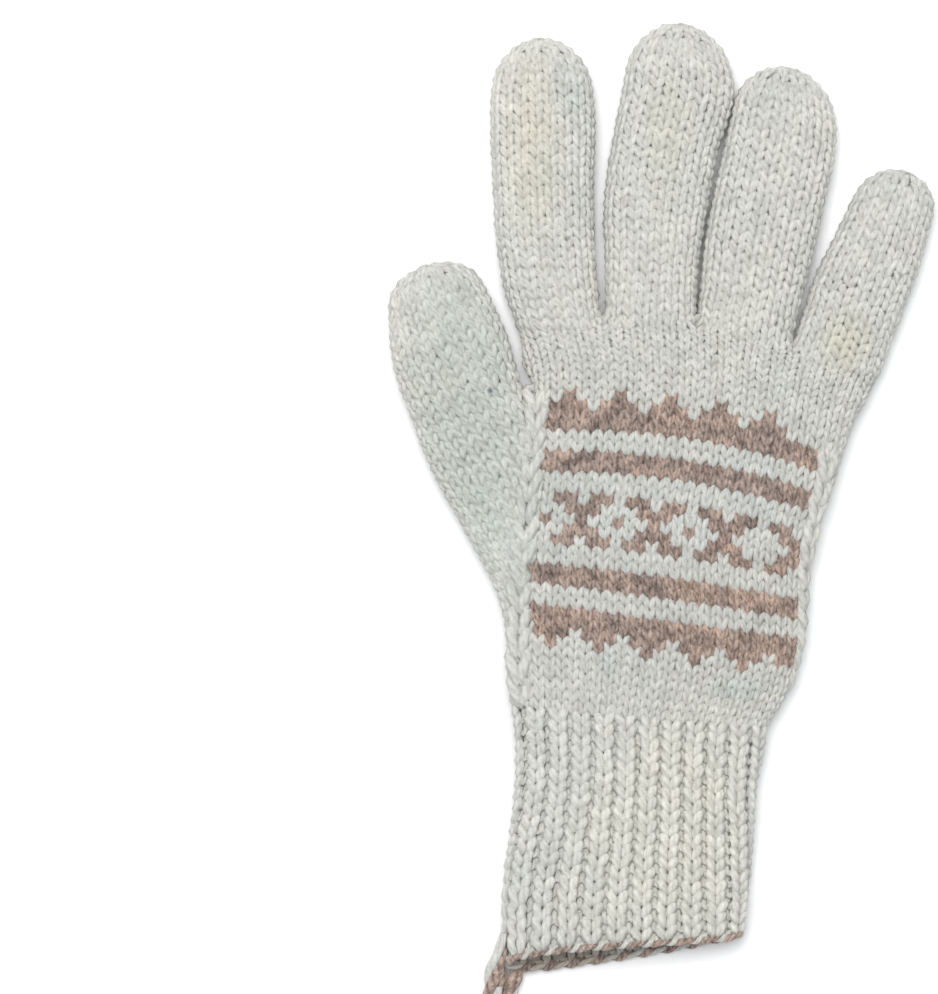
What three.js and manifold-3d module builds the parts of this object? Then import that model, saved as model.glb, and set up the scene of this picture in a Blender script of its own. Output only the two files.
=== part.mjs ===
// A right-hand wool glove, hand-knitted, lying flat on its palm with its back up.
// Millimetres. Fingers point along +Y, the thumb lies at -X, and the resting plane is z = 0.
// The knitted walls are hollow shells: the wrist is open, and each finger opens into the hand.

import * as THREE from 'three';
import Module from 'manifold-3d';

const wasm = await Module();
wasm.setup();

// Thickness of the knitted fabric, and of the ribbed cuff, which is thicker.
const WALL = 2.8;
const CUFF_WALL = 3.4;

// Gap left between neighbouring pieces where one is knitted onto the next.
const SEAM_GAP = 0.35;

// The ribs of the cuff, counted all round, and how far they rise and sink.
const RIB_COUNT = 20;
const RIB_DEPTH = 0.45;

// The two-strand cast-on edge that runs round the hem.
const EDGE_RADIUS = 1.7;
const EDGE_CLEARANCE = 0.3;

// The hanging loop's cord.
const LOOP_RADIUS = 2.2;
const LOOP_SIDES = 8;
const LOOP_STEPS = 32;

// Points round a section, and rows in a rounded fingertip.
const FINGER_AROUND = 20;
const HAND_AROUND = 30;
const CUFF_AROUND = 80;
const EDGE_AROUND = 36;
const EDGE_SIDES = 8;
const CAP_STEPS = 4;

// A section is flat below and round above: the share of its height where it is widest,
// how square its upper and lower halves are, and how much of the belly the plane flattens.
const WIDEST_SHARE = 0.45;
const TOP_SQUARENESS = 2.3;
const BELLY_SQUARENESS = 3.0;
const BELLY_FLATTENING = 0.05;
const OUTLINE_SAMPLES = 360;

// How far a lining runs past an open end, so that it cuts clean through.
const OPEN_END = 3;

// Middle of the whole glove in the tables' own measures, which becomes the origin.
const CENTRE_X = 0.38;
const CENTRE_Y = 0.72;

// Each table row is one section across the knitting: the middle of its chord (x, y),
// half the chord, the chord's turn in degrees from +X, its height, and how far its belly
// is lifted off the plane inside the hand.
const INDEX_FINGER = [
  { x: -26.8, y: 36.0, half: 11.2, turn: 0, height: 11.0, bottom: 0.8 },
  { x: -27.4, y: 46.2, half: 11.8, turn: 0, height: 12.8, bottom: 0.2 },
  { x: -29.3, y: 54.5, half: 12.9, turn: 0, height: 13.8 },
  { x: -31.0, y: 66.0, half: 13.5, turn: 0, height: 14.0 },
  { x: -31.9, y: 84.7, half: 14.0, turn: 0, height: 13.8 },
  { x: -32.2, y: 109.5, half: 14.3, turn: 0, height: 13.4 },
];
const INDEX_TIP = { x: -32.5, y: 126.2 };

const MIDDLE_FINGER = [
  { x: -2.5, y: 35.0, half: 11.4, turn: -2, height: 11.6, bottom: 0.8 },
  { x: -2.5, y: 46.2, half: 12.5, turn: -2, height: 13.2, bottom: 0.2 },
  { x: -2.5, y: 60.0, half: 12.8, turn: -3, height: 14.3 },
  { x: -1.0, y: 82.0, half: 14.5, turn: -7, height: 14.2 },
  { x: 1.2, y: 95.7, half: 14.7, turn: -8, height: 14.0 },
  { x: 5.1, y: 112.2, half: 15.4, turn: -8, height: 13.6 },
];
const MIDDLE_TIP = { x: 6.3, y: 130.1 };

const RING_FINGER = [
  { x: 21.4, y: 33.0, half: 11.8, turn: -7, height: 11.6, bottom: 0.8 },
  { x: 22.8, y: 43.5, half: 13.3, turn: -7, height: 13.0, bottom: 0.2 },
  { x: 24.5, y: 54.5, half: 14.2, turn: -9, height: 14.0 },
  { x: 26.8, y: 68.2, half: 15.2, turn: -11, height: 14.2 },
  { x: 29.7, y: 82.0, half: 15.4, turn: -11, height: 14.0 },
  { x: 33.6, y: 101.2, half: 15.0, turn: -11, height: 13.6 },
];
const RING_TIP = { x: 35.2, y: 118.3 };

const LITTLE_FINGER = [
  { x: 45.4, y: 28.5, half: 11.2, turn: -14, height: 10.8, bottom: 0.8 },
  { x: 49.2, y: 40.7, half: 13.0, turn: -17, height: 12.4, bottom: 0.2 },
  { x: 53.8, y: 54.5, half: 13.2, turn: -21, height: 13.2 },
  { x: 59.6, y: 68.2, half: 12.5, turn: -21, height: 13.0 },
  { x: 63.7, y: 79.2, half: 11.4, turn: -21, height: 12.4 },
];
const LITTLE_TIP = { x: 68.1, y: 89.6 };

// The thumb's lower rows reach into the hand, because its gusset opens there.
const THUMB = [
  { x: -34.4, y: -38.0, half: 7.4, turn: 4, height: 10.4, bottom: 0.8 },
  { x: -35.4, y: -25.3, half: 9.4, turn: 6, height: 12.0, bottom: 0.6 },
  { x: -39.8, y: -7.4, half: 13.8, turn: 8, height: 13.0, bottom: 0.4 },
  { x: -46.2, y: 11.6, half: 17.2, turn: 12, height: 14.2, bottom: 0.1 },
  { x: -53.2, y: 27.0, half: 16.1, turn: 16, height: 14.6 },
  { x: -57.5, y: 40.7, half: 16.4, turn: 16, height: 14.4 },
  { x: -61.1, y: 54.0, half: 13.9, turn: 16, height: 13.0 },
];
const THUMB_TIP = { x: -63.6, y: 64.2 };

// The hand's rows also bow upwards in their middle, by the millimetres given.
const HAND = [
  { x: -5.9, y: -58.8, half: 36.0, turn: -4.8, height: 15.0, bow: 0 },
  { x: -3.9, y: -49.2, half: 39.1, turn: -6.9, height: 15.6, bow: 0 },
  { x: -2.0, y: -38.0, half: 40.7, turn: -7.5, height: 16.2, bow: 0 },
  { x: 1.0, y: -10.0, half: 41.0, turn: -8.0, height: 16.6, bow: 2.5 },
  { x: 5.2, y: 9.0, half: 43.0, turn: -8.6, height: 16.6, bow: 4.2 },
  { x: 9.0, y: 28.8, half: 45.7, turn: -8.2, height: 15.8, bow: 5.0 },
  { x: 9.9, y: 38.2, half: 49.3, turn: -8.3, height: 14.6, bow: 5.4 },
  { x: 10.2, y: 41.0, half: 46.5, turn: -8.3, height: 10.6, bow: 5.6 },
];

// The cuff hangs from the hand's first row. Its palm layer reaches past the back layer
// at the hem by the droop given, at the thumb's side.
const CUFF = [
  { x: -5.8, y: -59.2, half: 35.6, turn: -4.9, height: 14.8, droop: 0 },
  { x: -6.6, y: -76.2, half: 33.1, turn: -3.3, height: 14.6, droop: 0 },
  { x: -7.6, y: -89.9, half: 33.2, turn: -2.4, height: 14.4, droop: 0 },
  { x: -9.0, y: -104.2, half: 33.8, turn: -1.4, height: 14.2, droop: 0 },
  { x: -9.7, y: -113.0, half: 33.8, turn: 0.8, height: 14.0, droop: 2.2 },
  { x: -10.2, y: -120.2, half: 33.4, turn: 3.0, height: 13.8, droop: 4.6 },
];

// Lines, seen from above, where one piece is knitted onto the next.
const KNUCKLE_LINE = [
  { x: -41.9, y: 48.6 },
  { x: -16.0, y: 50.3 },
  { x: 9.4, y: 53.2 },
  { x: 35.2, y: 41.7 },
  { x: 66.5, y: 33.4 },
];
const INDEX_MIDDLE_LINE = [
  { x: -16.0, y: 50.3 },
  { x: -16.2, y: 68.0 },
  { x: -17.2, y: 100.0 },
];
const MIDDLE_RING_LINE = [
  { x: 9.4, y: 53.2 },
  { x: 11.3, y: 71.2 },
  { x: 14.3, y: 88.0 },
  { x: 18.2, y: 104.2 },
  { x: 22.5, y: 124.0 },
];
const RING_LITTLE_LINE = [
  { x: 35.2, y: 41.7 },
  { x: 37.9, y: 49.0 },
  { x: 43.0, y: 61.3 },
  { x: 52.5, y: 87.5 },
];
const THUMB_LINE = [
  { x: -39.2, y: 42.1 },
  { x: -37.8, y: 35.2 },
  { x: -36.7, y: 27.0 },
  { x: -38.0, y: 10.2 },
  { x: -39.4, y: -6.0 },
  { x: -40.4, y: -26.7 },
  { x: -42.6, y: -41.8 },
  { x: -45.5, y: -48.5 },
];

// The hanging loop's route: out of the hem's thumb-side corner, down onto the plane,
// round one open bend and back to the palm layer of the same corner.
const LOOP_ROUTE = [
  [-43.0, -128.4, 6.6],
  [-43.5, -129.6, 6.0],
  [-44.2, -131.2, 4.6],
  [-45.2, -134.4, 3.0],
  [-46.2, -137.6, 2.3],
  [-47.7, -141.6, 2.25],
  [-50.0, -146.0, 2.25],
  [-52.6, -150.4, 2.25],
  [-54.4, -155.0, 2.25],
  [-54.3, -159.8, 2.25],
  [-52.2, -164.0, 2.25],
  [-48.2, -166.8, 2.25],
  [-43.4, -167.0, 2.25],
  [-39.2, -164.6, 2.25],
  [-36.8, -160.4, 2.25],
  [-36.6, -155.6, 2.25],
  [-37.9, -150.8, 2.25],
  [-39.5, -146.2, 2.25],
  [-40.8, -141.8, 2.25],
  [-41.3, -137.6, 2.3],
  [-40.8, -134.2, 2.35],
  [-39.9, -131.8, 2.4],
  [-39.4, -130.6, 2.4],
];

const WHITE_WOOL = { color: 0xd7d6cd, roughness: 0.95, metalness: 0 };
const TAUPE_WOOL = { color: 0xaa9184, roughness: 0.95, metalness: 0 };

function signedPower(value, exponent) {
  return Math.sign(value) * Math.abs(value) ** exponent;
}

// The closed outline of one section, as (u, z) pairs evenly spaced along it.
// It starts at the +u side and runs over the top.
function sectionOutline(half, bottom, top, around) {
  const widest = bottom + (top - bottom) * WIDEST_SHARE;
  const rise = top - widest;
  const fall = (widest - bottom) * (1 + BELLY_FLATTENING);
  const fine = [];
  for (let i = 0; i <= OUTLINE_SAMPLES; i += 1) {
    const angle = (2 * Math.PI * i) / OUTLINE_SAMPLES;
    const squareness = Math.sin(angle) >= 0 ? TOP_SQUARENESS : BELLY_SQUARENESS;
    const u = half * signedPower(Math.cos(angle), 2 / squareness);
    const swing = signedPower(Math.sin(angle), 2 / squareness);
    const z = widest + (swing >= 0 ? rise : fall) * swing;
    fine.push({ u, z: Math.max(z, bottom) });
  }
  const lengths = [0];
  for (let i = 1; i < fine.length; i += 1) {
    lengths.push(lengths[i - 1] + Math.hypot(fine[i].u - fine[i - 1].u, fine[i].z - fine[i - 1].z));
  }
  const total = lengths[lengths.length - 1];
  const outline = [];
  let k = 0;
  for (let j = 0; j < around; j += 1) {
    const wanted = (total * j) / around;
    while (lengths[k + 1] < wanted) k += 1;
    const share = (wanted - lengths[k]) / (lengths[k + 1] - lengths[k]);
    outline.push({
      u: fine[k].u + (fine[k + 1].u - fine[k].u) * share,
      z: fine[k].z + (fine[k + 1].z - fine[k].z) * share,
    });
  }
  return outline;
}

// Pushes an outline in and out along its normal, one wave for each rib.
function ribbed(outline, ribCount, depth) {
  const count = outline.length;
  return outline.map((point, j) => {
    const before = outline[(j + count - 1) % count];
    const after = outline[(j + 1) % count];
    const normal = new THREE.Vector2(after.z - before.z, before.u - after.u).normalize();
    const wave = depth * (Math.cos((2 * Math.PI * ribCount * j) / count) - 1);
    return { u: point.u + normal.x * wave, z: Math.max(point.z + normal.y * wave, 0) };
  });
}

// Stands a section's outline up across its row's chord.
function placedSection(row, outline) {
  const turn = THREE.MathUtils.degToRad(row.turn);
  const bow = row.bow ?? 0;
  const droop = row.droop ?? 0;
  const bottom = row.bottom ?? 0;
  return outline.map(({ u, z }) => {
    const across = u / row.half;
    const down = 1 - (z - bottom) / row.height;
    const forward = bow * (1 - across * across) - (droop * down * (1 - across)) / 2;
    return new THREE.Vector3(
      row.x + u * Math.cos(turn) - forward * Math.sin(turn) - CENTRE_X,
      row.y + u * Math.sin(turn) + forward * Math.cos(turn) - CENTRE_Y,
      z,
    );
  });
}

// The rows of a rounded end, from a tube's last row to its tip.
function tipRows(last, tip) {
  const rows = [];
  for (let step = 1; step < CAP_STEPS; step += 1) {
    const angle = (Math.PI / 2) * (step / CAP_STEPS);
    const along = Math.sin(angle);
    const height = last.height * Math.sqrt(1 - along ** 3);
    rows.push({
      ...last,
      x: last.x + (tip.x - last.x) * along,
      y: last.y + (tip.y - last.y) * along,
      half: last.half * Math.cos(angle),
      height,
      bottom: (last.bottom ?? 0) + (last.height - height) * 0.4,
    });
  }
  return rows;
}

// The same rows drawn in by the wall, for the hollow inside. The first row moves out
// of the open end, and the tip moves back by the wall.
function lining(rows, wall) {
  const inner = rows.map((row) => ({
    ...row,
    half: row.half - wall,
    height: row.height - 2 * wall,
    bottom: (row.bottom ?? 0) + wall,
  }));
  const turn = THREE.MathUtils.degToRad(rows[0].turn);
  const out = rows[1].y > rows[0].y ? -OPEN_END : OPEN_END;
  inner.unshift({ ...inner[0], x: inner[0].x - out * Math.sin(turn), y: inner[0].y + out * Math.cos(turn) });
  return inner;
}

// A closed solid through sections of equal point count, in the order given.
function loft(sections, tipPoint) {
  const around = sections[0].length;
  const positions = [];
  const addPoint = (point) => {
    positions.push(point.x, point.y, point.z);
    return positions.length / 3 - 1;
  };
  const middleOf = (section) =>
    section.reduce((sum, point) => sum.add(point), new THREE.Vector3()).divideScalar(section.length);
  const rings = sections.map((section) => section.map(addPoint));
  const start = addPoint(middleOf(sections[0]));
  const end = addPoint(tipPoint ?? middleOf(sections[sections.length - 1]));
  const lastRing = rings[rings.length - 1];
  const index = [];
  for (let j = 0; j < around; j += 1) {
    const next = (j + 1) % around;
    index.push(start, rings[0][j], rings[0][next]);
    index.push(end, lastRing[next], lastRing[j]);
    for (let i = 0; i + 1 < rings.length; i += 1) {
      index.push(rings[i][j], rings[i + 1][j], rings[i + 1][next]);
      index.push(rings[i][j], rings[i + 1][next], rings[i][next]);
    }
  }
  const geometry = new THREE.BufferGeometry();
  geometry.setAttribute('position', new THREE.Float32BufferAttribute(positions, 3));
  geometry.setIndex(index);
  return geometry;
}

// A tube of the knitting through the rows of a table, with a rounded tip if one is given.
function tubeGeometry(rows, around, tip) {
  const all = tip ? [...rows, ...tipRows(rows[rows.length - 1], tip)] : rows;
  const sections = all.map((row) => {
    const bottom = row.bottom ?? 0;
    return placedSection(row, sectionOutline(row.half, bottom, bottom + row.height, around));
  });
  const last = all[all.length - 1];
  const tipPoint = tip
    && new THREE.Vector3(tip.x - CENTRE_X, tip.y - CENTRE_Y, (last.bottom ?? 0) + last.height / 2);
  return loft(sections, tipPoint);
}

function solidOf(geometry) {
  return new wasm.Manifold(new wasm.Mesh({
    numProp: 3,
    vertProperties: Float32Array.from(geometry.getAttribute('position').array),
    triVerts: Uint32Array.from(geometry.getIndex().array),
  }));
}

function geometryOf(solid) {
  const mesh = solid.getMesh();
  const geometry = new THREE.BufferGeometry();
  geometry.setAttribute('position', new THREE.BufferAttribute(mesh.vertProperties, mesh.numProp));
  geometry.setIndex(new THREE.BufferAttribute(mesh.triVerts, 1));
  return geometry;
}

// A tip drawn back from the outer tip by the wall, along the finger.
function drawnBack(tip, last, wall) {
  const back = new THREE.Vector2(last.x - tip.x, last.y - tip.y).setLength(wall);
  return { x: tip.x + back.x, y: tip.y + back.y };
}

// The outside and the hollow of one closed-ended tube.
function fingerPair(rows, tip) {
  const last = rows[rows.length - 1];
  return {
    outside: solidOf(tubeGeometry(rows, FINGER_AROUND, tip)),
    hollow: solidOf(tubeGeometry(lining(rows, WALL), FINGER_AROUND, drawnBack(tip, last, WALL))),
  };
}

// The hand's hollow stops short of the web between the fingers.
function handPair() {
  return {
    outside: solidOf(tubeGeometry(HAND, HAND_AROUND)),
    hollow: solidOf(tubeGeometry(lining(HAND.slice(0, -1), WALL), HAND_AROUND)),
  };
}

// A thin upright slab along a line seen from above, which parts two pieces.
function seamCut(line) {
  const left = [];
  const right = [];
  line.forEach((point, i) => {
    const before = line[Math.max(i - 1, 0)];
    const after = line[Math.min(i + 1, line.length - 1)];
    const normal = new THREE.Vector2(before.y - after.y, after.x - before.x).setLength(SEAM_GAP / 2);
    const here = new THREE.Vector2(point.x - CENTRE_X, point.y - CENTRE_Y);
    left.push(here.clone().add(normal));
    right.unshift(here.clone().sub(normal));
  });
  const below = 5;
  const depth = 40;
  const slab = new THREE.ExtrudeGeometry(new THREE.Shape([...left, ...right]), {
    depth,
    bevelEnabled: false,
  });
  slab.translate(0, 0, -below);
  return solidOf(welded(slab));
}

// Gives a triangle soup shared corners, as a solid needs.
function welded(geometry) {
  const source = geometry.getAttribute('position');
  const seen = new Map();
  const positions = [];
  const index = [];
  for (let i = 0; i < source.count; i += 1) {
    const corner = geometry.getIndex() ? geometry.getIndex().getX(i) : i;
    const point = [source.getX(corner), source.getY(corner), source.getZ(corner)];
    const key = point.map((value) => value.toFixed(5)).join(' ');
    if (!seen.has(key)) {
      seen.set(key, positions.length / 3);
      positions.push(...point);
    }
    index.push(seen.get(key));
  }
  const result = new THREE.BufferGeometry();
  result.setAttribute('position', new THREE.Float32BufferAttribute(positions, 3));
  result.setIndex(index);
  return result;
}

// The hand with its five tubes as one hollow skin, parted along the seam lines.
function handPieces() {
  const pairs = [
    handPair(),
    fingerPair(INDEX_FINGER, INDEX_TIP),
    fingerPair(MIDDLE_FINGER, MIDDLE_TIP),
    fingerPair(RING_FINGER, RING_TIP),
    fingerPair(LITTLE_FINGER, LITTLE_TIP),
    fingerPair(THUMB, THUMB_TIP),
  ];
  const outside = pairs.map((pair) => pair.outside).reduce((sum, solid) => sum.add(solid));
  const hollow = pairs.map((pair) => pair.hollow).reduce((sum, solid) => sum.add(solid));
  let skin = outside.subtract(hollow);
  for (const line of [KNUCKLE_LINE, INDEX_MIDDLE_LINE, MIDDLE_RING_LINE, RING_LITTLE_LINE, THUMB_LINE]) {
    skin = skin.subtract(seamCut(line));
  }
  return skin.decompose();
}

// Finds the piece whose box has its middle nearest to a place seen from above.
function pieceNear(pieces, x, y) {
  const distance = (piece) => {
    const box = piece.boundingBox();
    const middleX = (box.min[0] + box.max[0]) / 2 + CENTRE_X;
    const middleY = (box.min[1] + box.max[1]) / 2 + CENTRE_Y;
    return Math.hypot(middleX - x, middleY - y);
  };
  return pieces.reduce((best, piece) => (distance(piece) < distance(best) ? piece : best));
}

// The ribbed cuff: a waved outside and a plain hollow, open at the hand and at the hem.
function cuffGeometry() {
  const sections = CUFF.map((row) =>
    placedSection(row, ribbed(sectionOutline(row.half, 0, row.height, CUFF_AROUND), RIB_COUNT, RIB_DEPTH)));
  const outside = solidOf(loft(sections.reverse()));
  const inner = lining(CUFF, CUFF_WALL);
  const hem = inner[inner.length - 1];
  inner.push({ ...hem, y: hem.y - OPEN_END - hem.droop });
  const hollow = solidOf(tubeGeometry(inner.reverse(), HAND_AROUND));
  return geometryOf(outside.subtract(hollow));
}

// The cast-on edge: a round strand that follows the middle of the hem's wall.
function edgeGeometry() {
  const hem = CUFF[CUFF.length - 1];
  const inset = CUFF_WALL / 2;
  const turn = THREE.MathUtils.degToRad(hem.turn);
  const out = EDGE_RADIUS + EDGE_CLEARANCE;
  const row = { ...hem, x: hem.x + out * Math.sin(turn), y: hem.y - out * Math.cos(turn) };
  const outline = sectionOutline(hem.half - inset, inset, hem.height - inset, EDGE_AROUND);
  const path = placedSection(row, outline);
  const count = path.length;
  const forward = new THREE.Vector3(-Math.sin(turn), Math.cos(turn), 0);
  const positions = [];
  const index = [];
  for (let j = 0; j < count; j += 1) {
    const tangent = path[(j + 1) % count].clone().sub(path[(j + count - 1) % count]).normalize();
    const side = new THREE.Vector3().crossVectors(tangent, forward).normalize();
    const ahead = new THREE.Vector3().crossVectors(side, tangent);
    for (let s = 0; s < EDGE_SIDES; s += 1) {
      const angle = (2 * Math.PI * s) / EDGE_SIDES;
      const point = path[j].clone()
        .addScaledVector(side, EDGE_RADIUS * Math.cos(angle))
        .addScaledVector(ahead, EDGE_RADIUS * Math.sin(angle));
      positions.push(point.x, point.y, point.z);
      const nextRing = ((j + 1) % count) * EDGE_SIDES;
      const nextSide = (s + 1) % EDGE_SIDES;
      const here = j * EDGE_SIDES + s;
      const turned = j * EDGE_SIDES + nextSide;
      index.push(here, nextRing + nextSide, turned);
      index.push(here, nextRing + s, nextRing + nextSide);
    }
  }
  const geometry = new THREE.BufferGeometry();
  geometry.setAttribute('position', new THREE.Float32BufferAttribute(positions, 3));
  geometry.setIndex(index);
  return geometry;
}

// The hanging loop: one cord along its route.
function loopGeometry() {
  const points = LOOP_ROUTE.map(([x, y, z]) => new THREE.Vector3(x - CENTRE_X, y - CENTRE_Y, z));
  const section = new THREE.Shape();
  for (let s = 0; s < LOOP_SIDES; s += 1) {
    const angle = (2 * Math.PI * s) / LOOP_SIDES;
    const x = LOOP_RADIUS * Math.cos(angle);
    const y = LOOP_RADIUS * Math.sin(angle);
    if (s === 0) section.moveTo(x, y);
    else section.lineTo(x, y);
  }
  section.closePath();
  return new THREE.ExtrudeGeometry(section, {
    steps: LOOP_STEPS,
    bevelEnabled: false,
    extrudePath: new THREE.CatmullRomCurve3(points),
  });
}

function namedMesh(name, geometry, look) {
  const mesh = new THREE.Mesh(geometry, new THREE.MeshStandardMaterial(look));
  mesh.name = name;
  return mesh;
}

// Where each piece of the hand's skin lies, seen from above.
const PIECE_PLACES = [
  { name: 'hand', x: 8, y: -3 },
  { name: 'index_finger', x: -31, y: 88 },
  { name: 'middle_finger', x: 3, y: 91 },
  { name: 'ring_finger', x: 30, y: 80 },
  { name: 'little_finger', x: 56, y: 62 },
  { name: 'thumb', x: -56, y: 11 },
];

const glove = new THREE.Group();
const pieces = handPieces();
for (const place of PIECE_PLACES) {
  const piece = pieceNear(pieces, place.x, place.y);
  glove.add(namedMesh(place.name, geometryOf(piece), WHITE_WOOL));
}
glove.add(namedMesh('cuff', cuffGeometry(), WHITE_WOOL));
glove.add(namedMesh('cast_on_edge', edgeGeometry(), TAUPE_WOOL));
glove.add(namedMesh('hanging_loop', loopGeometry(), TAUPE_WOOL));

export default glove;
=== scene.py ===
"""Looks of a hand-knitted wool glove that lies on its palm: every stitch is a loop of real yarn."""

import math
from collections import namedtuple

import bmesh
import bpy
import numpy as np
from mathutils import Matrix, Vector
from mathutils.bvhtree import BVHTree


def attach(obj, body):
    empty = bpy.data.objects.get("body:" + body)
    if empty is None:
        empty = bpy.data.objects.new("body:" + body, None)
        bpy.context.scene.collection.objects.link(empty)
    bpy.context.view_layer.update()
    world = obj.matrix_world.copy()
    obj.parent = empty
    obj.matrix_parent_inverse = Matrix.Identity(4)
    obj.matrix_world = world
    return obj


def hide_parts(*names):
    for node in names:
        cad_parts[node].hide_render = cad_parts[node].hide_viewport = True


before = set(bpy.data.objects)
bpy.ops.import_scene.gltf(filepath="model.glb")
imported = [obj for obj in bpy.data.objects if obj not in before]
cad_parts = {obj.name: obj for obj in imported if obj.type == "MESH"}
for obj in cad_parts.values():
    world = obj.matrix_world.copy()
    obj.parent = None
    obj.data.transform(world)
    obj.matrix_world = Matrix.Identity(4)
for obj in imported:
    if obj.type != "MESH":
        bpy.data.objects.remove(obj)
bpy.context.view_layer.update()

MM = 0.001
random = np.random.default_rng(7)
white_yarn = []
taupe_yarn = []

# The knitted tubes, as cross-sections from the wrist end to the tip, in millimetres and degrees.
# They are the CAD part's own, measured from the same point. Only the cuff's hem droops more.
CENTRE = np.array([0.38, 0.72, 0.0])
Row = namedtuple("Row", "x y half turn height bottom bow droop", defaults=(0.0, 0.0, 0.0))

# A finger's roots are the sections that bury its start in the hand. Columns counts its stitches.
Tube = namedtuple("Tube", "name columns roots rows tip")
FINGERS = (
    Tube("index", 16, [
        Row(-26.8, 34.0, 11.2, 0, 11.0, 0.8),
        Row(-27.4, 46.2, 11.8, 0, 12.8, 0.2),
    ], [
        Row(-29.3, 54.5, 12.9, 0, 13.8),
        Row(-31.0, 66.0, 13.5, 0, 14.0),
        Row(-31.9, 84.7, 14.0, 0, 13.8),
        Row(-32.2, 109.5, 14.3, 0, 13.4),
    ], (-32.5, 126.2)),
    Tube("middle", 16, [
        Row(-2.5, 33.0, 11.4, -2, 11.6, 0.8),
        Row(-2.5, 46.2, 12.5, -2, 13.2, 0.2),
    ], [
        Row(-2.5, 60.0, 12.8, -3, 14.3),
        Row(-1.0, 82.0, 14.5, -7, 14.2),
        Row(1.2, 95.7, 14.7, -8, 14.0),
        Row(5.1, 112.2, 15.4, -8, 13.6),
    ], (6.3, 130.1)),
    Tube("ring", 16, [
        Row(21.4, 31.0, 11.8, -7, 11.6, 0.8),
        Row(22.8, 43.5, 13.3, -7, 13.0, 0.2),
    ], [
        Row(24.8, 56.5, 14.3, -9, 14.0),
        Row(26.8, 68.2, 15.2, -11, 14.2),
        Row(29.7, 82.0, 15.4, -11, 14.0),
        Row(33.6, 101.2, 15.0, -11, 13.6),
    ], (35.2, 118.3)),
    Tube("little", 14, [
        Row(44.6, 26.5, 11.0, -14, 10.8, 0.8),
        Row(49.2, 40.7, 13.0, -17, 12.4, 0.2),
    ], [
        Row(51.4, 47.4, 13.1, -19, 12.8),
        Row(53.8, 54.5, 13.2, -21, 13.2),
        Row(59.6, 68.2, 12.5, -21, 13.0),
        Row(63.7, 79.2, 11.4, -21, 12.4),
    ], (68.1, 89.6)),
)
THUMB = Tube("thumb", 18, [], [
    Row(-34.4, -38.0, 7.4, 4, 10.4, 0.8),
    Row(-35.4, -25.3, 9.4, 6, 12.0, 0.6),
    Row(-39.8, -7.4, 13.8, 8, 13.0, 0.4),
    Row(-46.2, 11.6, 17.2, 12, 14.2, 0.1),
    Row(-53.2, 27.0, 16.1, 16, 14.6),
    Row(-57.5, 40.7, 16.4, 16, 14.4),
    Row(-61.1, 54.0, 13.9, 16, 13.0),
], (-63.6, 64.2))
HAND_ROWS = [
    Row(-5.9, -58.8, 36.0, -4.8, 15.0),
    Row(-3.9, -49.2, 39.1, -6.9, 15.6),
    Row(-2.0, -38.0, 40.7, -7.5, 16.2),
    Row(1.0, -10.0, 41.0, -8.0, 16.6, bow=2.5),
    Row(5.2, 9.0, 43.0, -8.6, 16.6, bow=4.2),
    Row(9.0, 28.8, 45.7, -8.2, 15.8, bow=5.0),
]
HAND_END = Row(10.2, 41.0, 49.0, -8.3, 13.6, bow=5.6)
HAND_TOP = [Row(9.9, 37.2, 48.8, -8.3, 14.8, bow=5.4), HAND_END._replace(half=46.5, height=10.6)]
CUFF_ROWS = [
    Row(-10.1, -119.4, 33.4, 3.0, 13.8, droop=9.0),
    Row(-9.7, -113.0, 33.8, 0.8, 14.0, droop=4.6),
    Row(-9.0, -104.2, 33.8, -1.4, 14.2),
    Row(-7.6, -89.9, 33.2, -2.4, 14.4),
    Row(-6.6, -76.2, 33.1, -3.3, 14.6),
    Row(-5.8, -59.2, 35.6, -4.9, 14.8),
]

# The places where the fingers part, and the line along which the thumb's gusset joins the hand.
KNUCKLES = [(-38.2, 47.4), (-16.0, 47.4), (9.4, 48.6), (35.2, 39.8), (59.0, 34.6)]
THUMB_LINE = [(-45.5, -48.5), (-42.6, -41.8), (-40.4, -26.7), (-39.4, -6.0), (-38.0, 10.2),
              (-36.7, 27.0), (-37.8, 35.2), (-39.2, 42.1)]

# The cord's route, from the CAD part, and on into the hem. Its strands are twisted together.
LOOP_ROUTE = [
    (-43.0, -128.4, 6.6), (-43.5, -129.6, 6.0), (-44.2, -131.2, 4.6), (-45.2, -134.4, 3.0),
    (-46.2, -137.6, 2.3), (-47.7, -141.6, 2.25), (-50.0, -146.0, 2.25), (-52.6, -150.4, 2.25),
    (-54.4, -155.0, 2.25), (-54.3, -159.8, 2.25), (-52.2, -164.0, 2.25), (-48.2, -166.8, 2.25),
    (-43.4, -167.0, 2.25), (-39.2, -164.6, 2.25), (-36.8, -160.4, 2.25), (-36.6, -155.6, 2.25),
    (-37.9, -150.8, 2.25), (-39.5, -146.2, 2.25), (-40.8, -141.8, 2.25), (-41.3, -137.6, 2.3),
    (-40.8, -134.2, 2.35), (-39.9, -131.8, 2.4), (-39.4, -130.6, 2.4), (-38.4, -128.9, 3.0),
]
LOOP_DIAMETER = 4.6
CORD_STRAND = 1.3
CORD_PITCH = 14.0
CORD_STEP = 0.7
CORD_SIDES = 10
STRANDS = 3

# The gathered yarn ends where the cord leaves the hem's corner.
ROOT_ROUTE = [
    (-42.6, -118.6, 7.4), (-43.4, -122.4, 7.4), (-44.4, -126.0, 6.8), (-45.2, -129.6, 5.6),
    (-45.7, -133.4, 4.4), (-46.3, -137.4, 3.8), (-47.4, -141.0, 3.4),
]
ROOT_STRAND = 1.5
ROOT_OFFSET = 1.3
ROOT_PITCH = 30.0
ROOT_TAPER = 14.0
CORD_TAPER = 3.0
END_SHARE = 0.35

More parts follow.
